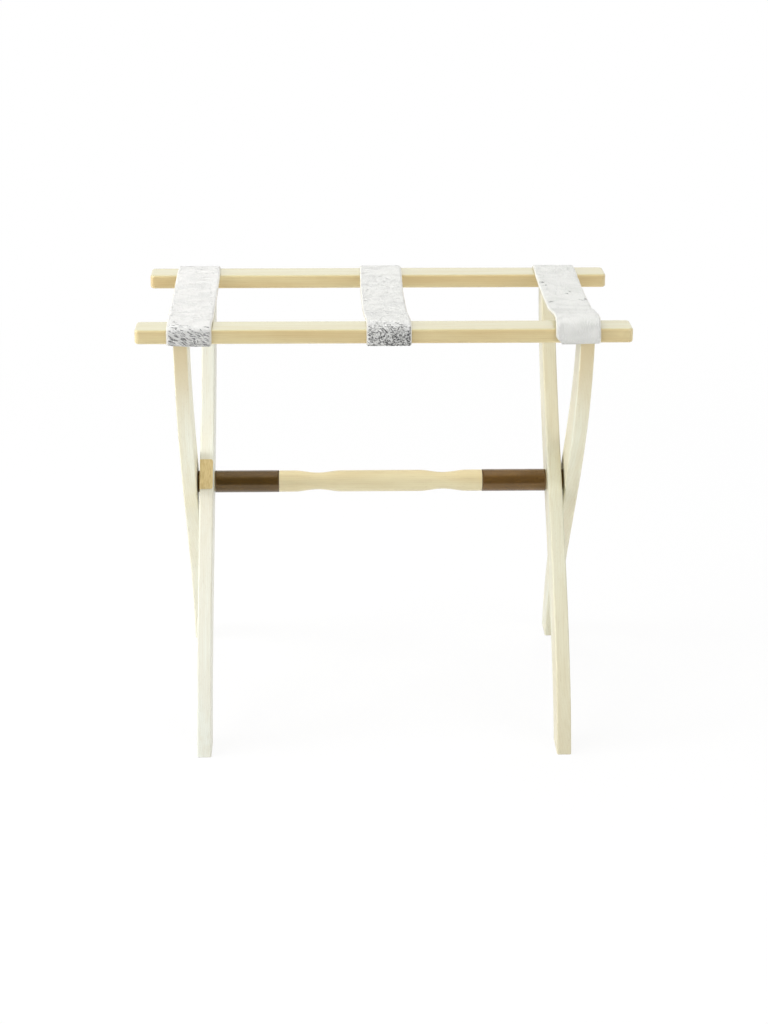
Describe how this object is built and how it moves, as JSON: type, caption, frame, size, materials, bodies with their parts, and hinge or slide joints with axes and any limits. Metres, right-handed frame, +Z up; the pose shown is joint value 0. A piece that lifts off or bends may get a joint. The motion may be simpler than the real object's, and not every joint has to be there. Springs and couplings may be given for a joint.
{
  "type": "luggage bench",
  "caption": "Folding luggage bench: crossed pairs of curved wooden legs under flat rails, joined by straps of hair-on hide and braced by a turned stretcher.",
  "frame": {"origin": "on the floor, midway between the feet and midway along the rails", "axes": "+X along the rails to the right, +Y to the rear, +Z up; the pivot line is along X at y = 0, z = 0.291"},
  "size_m": [0.608, 0.4682, 0.5484],
  "materials": {
    "pale_wood": "pale hardwood with fine straight grain, clear satin lacquer",
    "turned_wood": "pale hardwood, turned and satin lacquered",
    "hide": "hair-on hide, white with sparse dark hairs, cream cut edges",
    "brown_leather": "dark brown leather, smooth with a satin sheen",
    "dark_spacer": "dark, matte",
    "steel": "satin zinc-plated steel",
    "tack_steel": "blued steel with a low sheen",
    "brass_insert": "plain machined brass",
    "tan_inlay": "tan wood inlay, smooth and matte"
  },
  "bodies": {
    "inner_frame": {"rear_rail": "pale_wood", "inner_leg_left": "pale_wood", "inner_leg_right": "pale_wood", "stretcher": "turned_wood", "sleeve_left": "brown_leather", "sleeve_right": "brown_leather", "spacer_left": "dark_spacer", "spacer_right": "dark_spacer", "pivot_bolt_left": "steel", "pivot_bolt_right": "steel", "bolt_washers": "steel", "threaded_inserts": "brass_insert", "rear_rail_screws": "steel", "rear_strap_tacks": "tack_steel", "inlay_plate": "tan_inlay", "strap_left_span": "hide", "strap_left_rear": "hide", "strap_middle_span": "hide", "strap_middle_rear": "hide", "strap_right_span": "hide", "strap_right_rear": "hide"},
    "outer_frame": {"front_rail": "pale_wood", "outer_leg_left": "pale_wood", "outer_leg_right": "pale_wood", "front_rail_screws": "steel", "strap_left_front": "hide", "strap_middle_front": "hide", "strap_right_front": "hide", "front_strap_tacks": "tack_steel"}
  },
  "joints": [
    {"name": "fold", "type": "hinge", "parent": "inner_frame", "child": "outer_frame", "pos_m": [0, 0, 0.291], "axis": [-1, 0, 0], "range_deg": [0, 50], "deforming": ["strap_left_span", "strap_middle_span", "strap_right_span"]}
  ]
}
